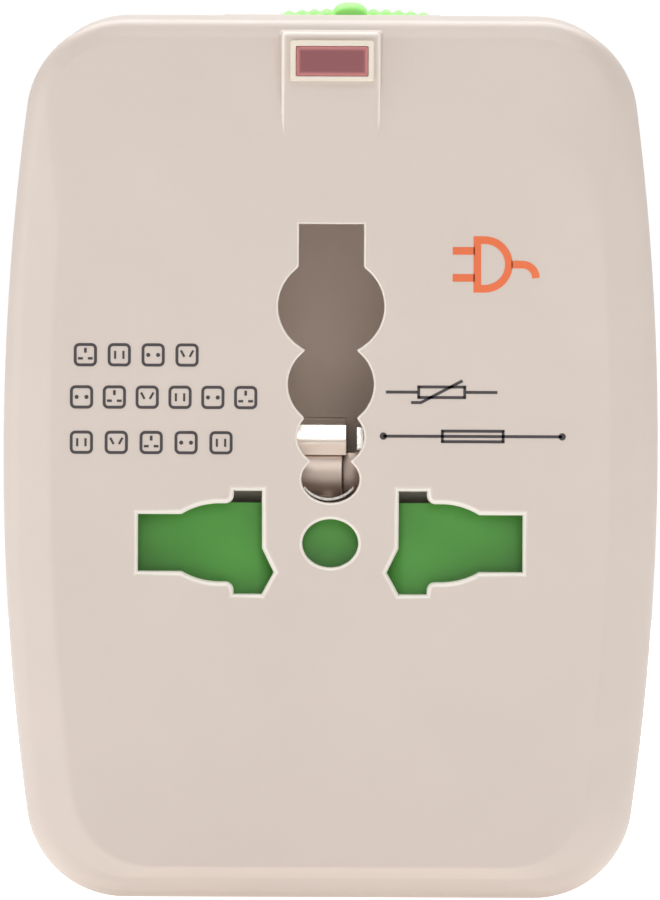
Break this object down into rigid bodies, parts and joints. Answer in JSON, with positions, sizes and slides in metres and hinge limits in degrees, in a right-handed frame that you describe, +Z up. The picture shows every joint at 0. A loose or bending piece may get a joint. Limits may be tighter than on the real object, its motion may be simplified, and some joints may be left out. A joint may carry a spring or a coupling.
{
  "type": "universal travel adapter",
  "caption": "Barrel-sided block adapter: universal socket face with shuttered openings, indicator window, slide lock, and a detachable plug module with sliding, folding and swivelling pins.",
  "frame": {"origin": "centre of the flat bottom that the adapter stands on, under the middle of its box", "axes": "+Z up towards the indicator and the slide lock; -Y towards the front with the socket face; +X to the right seen from the front"},
  "size_m": [0.0534, 0.056, 0.0731],
  "materials": {
    "ivory_plastic": "satin moulded plastic with a very fine texture",
    "green_plastic": "smooth moulded plastic",
    "red_lens": "polished translucent dark red",
    "grey_brown_insulation": "matt moulded insulating plastic",
    "nickel_plate": "bright nickel plating",
    "brass_strip": "rolled strip",
    "steel": "plain bright steel",
    "lamp_glass": "clear glass",
    "ceramic": "glazed ceramic",
    "varistor_epoxy": "dipped epoxy",
    "circuit_laminate": "coated glass laminate"
  },
  "bodies": {
    "socket_module": {"front_shell": "ivory_plastic", "socket_rear_shell": "ivory_plastic", "indicator_lens": "red_lens", "earth_well": "grey_brown_insulation", "shutter_guide": "grey_brown_insulation", "earth_contact": "nickel_plate", "earth_contact_leaf": "nickel_plate", "earth_link_pin": "nickel_plate", "live_contact": "brass_strip", "neutral_contact": "brass_strip", "live_busbar": "brass_strip", "neutral_busbar": "brass_strip", "earth_strap": "brass_strip", "fuse_clip_left": "brass_strip", "fuse_clip_right": "brass_strip", "case_screw_left_low": "steel", "case_screw_left_high": "steel", "case_screw_right_low": "steel", "case_screw_right_high": "steel", "neon_lamp": "lamp_glass", "dropping_resistor": "ceramic", "fuse": "ceramic", "surge_varistor": "varistor_epoxy", "circuit_board": "circuit_laminate"},
    "shutter": {"safety_shutter": "green_plastic", "shutter_spring": "steel"},
    "latch": {"lock_latch": "green_plastic"},
    "left_blade": {"blade_hub_left": "green_plastic", "blade_left": "nickel_plate"},
    "right_blade": {"blade_hub_right": "green_plastic", "blade_right": "nickel_plate"},
    "plug_module": {"plug_shell": "ivory_plastic", "plug_rear_cover": "ivory_plastic", "blade_sleeve_left": "brass_strip", "blade_sleeve_right": "brass_strip", "earth_link_socket": "brass_strip", "uk_rail_left": "brass_strip", "uk_rail_right": "brass_strip", "eu_contact_left": "brass_strip", "eu_contact_right": "brass_strip", "eu_axle": "steel", "cover_screw_left_low": "steel", "cover_screw_left_high": "steel", "cover_screw_right_low": "steel", "cover_screw_right_high": "steel"},
    "uk_pins": {"uk_carriage": "grey_brown_insulation", "uk_live_pin": "nickel_plate", "uk_neutral_pin": "nickel_plate", "uk_earth_pin": "nickel_plate", "uk_slider_knob": "green_plastic"},
    "eu_pins": {"eu_hinge_bar": "green_plastic", "eu_pin_left": "nickel_plate", "eu_pin_right": "nickel_plate"}
  },
  "joints": [
    {"name": "shutter_slide", "type": "slide", "parent": "socket_module", "child": "shutter", "axis": [0, 0, -1], "range_m": [0, 0.008], "stiffness_N_per_m": 40, "springref_m": -0.004, "deforming": ["shutter_spring"]},
    {"name": "lock_slide", "type": "slide", "parent": "socket_module", "child": "latch", "axis": [-1, 0, 0], "range_m": [0, 0.0036]},
    {"name": "left_blade_swivel", "type": "hinge", "parent": "socket_module", "child": "left_blade", "pos_m": [-0.00635, -0.002, 0.02], "axis": [0, 1, 0], "range_deg": [0, 30]},
    {"name": "right_blade_swivel", "type": "hinge", "parent": "socket_module", "child": "right_blade", "pos_m": [0.00635, -0.002, 0.02], "axis": [0, -1, 0], "range_deg": [0, 30]},
    {"name": "plug_module_slide", "type": "slide", "parent": "socket_module", "child": "plug_module", "axis": [0, 1, 0], "range_m": [0, 0.035]},
    {"name": "uk_pins_slide", "type": "slide", "parent": "plug_module", "child": "uk_pins", "axis": [0, 1, 0], "range_m": [0, 0.0227]},
    {"name": "eu_pins_fold", "type": "hinge", "parent": "plug_module", "child": "eu_pins", "pos_m": [0, 0.0247, 0.0273], "axis": [1, 0, 0], "range_deg": [0, 90]}
  ]
}
